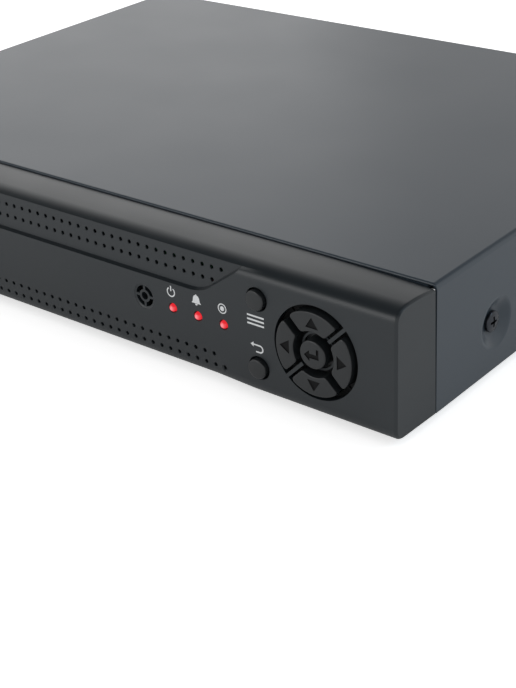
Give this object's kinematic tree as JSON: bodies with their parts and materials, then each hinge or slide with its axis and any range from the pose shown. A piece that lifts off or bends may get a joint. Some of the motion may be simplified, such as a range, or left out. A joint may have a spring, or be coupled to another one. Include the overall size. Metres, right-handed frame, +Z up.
{
  "type": "security camera video recorder",
  "caption": "Low black video recorder case with a moulded front, sprung keys and a direction pad, rear video, audio, network and power sockets, and a drive and fan inside.",
  "frame": {"origin": "centre of the bounding box's base, on the surface that the feet stand on", "axes": "+X to the right along the front, +Y from the front to the rear panel, +Z up"},
  "size_m": [0.3, 0.2446, 0.0475],
  "materials": {
    "moulding": "fine textured moulded ABS, satin",
    "painted_steel": "fine powder coat, satin black",
    "key": "moulded ABS, satin",
    "rubber": "moulded rubber, matt",
    "black_screw": "black zinc plated steel",
    "zinc_screw": "bright zinc plated steel",
    "lamp": "clear red epoxy, lit",
    "dark_epoxy": "dark filter epoxy",
    "circuit_board": "green solder mask",
    "chip": "moulded epoxy, matt",
    "aluminium": "cast or extruded, satin",
    "nickel": "nickel plated",
    "ribbon": "grey PVC",
    "black_lead": "black PVC",
    "red_lead": "red PVC",
    "blue_core": "moulded blue plastic",
    "black_plastic": "moulded black plastic"
  },
  "bodies": {
    "case": {"front_bezel": "moulding", "top_cover": "painted_steel", "base_chassis": "painted_steel", "button_board": "circuit_board", "power_lamp": "lamp", "alarm_lamp": "lamp", "recording_lamp": "lamp", "infrared_receiver": "dark_epoxy", "button_board_ribbon": "ribbon", "main_board": "circuit_board", "video_processor": "chip", "heatsink": "aluminium", "coin_cell": "nickel", "buzzer": "black_plastic", "audio_jacks": "black_plastic", "vga_port": "blue_core", "hdmi_port": "nickel", "network_port": "nickel", "usb_ports": "nickel", "power_inlet": "black_plastic", "hard_drive_case": "aluminium", "hard_drive_lid": "nickel", "hard_drive_board": "circuit_board", "drive_data_lead": "red_lead", "drive_power_lead": "black_lead", "fan_frame": "black_plastic", "fan_lead": "black_lead", "front_left_foot": "rubber", "front_right_foot": "rubber", "rear_left_foot": "rubber", "rear_right_foot": "rubber", "left_front_side_screw": "black_screw", "left_rear_side_screw": "black_screw", "right_front_side_screw": "black_screw", "right_rear_side_screw": "black_screw", "rear_cover_screw_1": "black_screw", "rear_cover_screw_2": "black_screw", "rear_cover_screw_3": "black_screw", "board_screw_1": "zinc_screw", "drive_screw_1": "zinc_screw", "video_input_1": "nickel", "board_screw_2": "zinc_screw", "drive_screw_2": "zinc_screw", "video_input_2": "nickel", "board_screw_3": "zinc_screw", "drive_screw_3": "zinc_screw", "video_input_3": "nickel", "board_screw_4": "zinc_screw", "drive_screw_4": "zinc_screw", "video_input_4": "nickel", "fan_screw_1": "zinc_screw", "fan_screw_2": "zinc_screw"},
    "up_key": {"up_button": "key"},
    "down_key": {"down_button": "key"},
    "left_key": {"left_button": "key"},
    "right_key": {"right_button": "key"},
    "enter_key": {"enter_button": "key"},
    "menu_key": {"menu_button": "key"},
    "back_key": {"back_button": "key"},
    "rotor": {"fan_rotor": "black_plastic"}
  },
  "joints": [
    {"name": "up_key_press", "type": "slide", "parent": "case", "child": "up_key", "axis": [0, 1, 0], "range_m": [0, 0.0006], "stiffness_N_per_m": 900},
    {"name": "down_key_press", "type": "slide", "parent": "case", "child": "down_key", "axis": [0, 1, 0], "range_m": [0, 0.0006], "stiffness_N_per_m": 900},
    {"name": "left_key_press", "type": "slide", "parent": "case", "child": "left_key", "axis": [0, 1, 0], "range_m": [0, 0.0006], "stiffness_N_per_m": 900},
    {"name": "right_key_press", "type": "slide", "parent": "case", "child": "right_key", "axis": [0, 1, 0], "range_m": [0, 0.0006], "stiffness_N_per_m": 900},
    {"name": "enter_key_press", "type": "slide", "parent": "case", "child": "enter_key", "axis": [0, 1, 0], "range_m": [0, 0.0006], "stiffness_N_per_m": 900},
    {"name": "menu_key_press", "type": "slide", "parent": "case", "child": "menu_key", "axis": [0, 1, 0], "range_m": [0, 0.0006], "stiffness_N_per_m": 900},
    {"name": "back_key_press", "type": "slide", "parent": "case", "child": "back_key", "axis": [0, 1, 0], "range_m": [0, 0.0006], "stiffness_N_per_m": 900},
    {"name": "fan_spin", "type": "hinge", "parent": "case", "child": "rotor", "pos_m": [0.118, 0.10427, 0.0241], "axis": [0, 1, 0], "continuous": true}
  ]
}
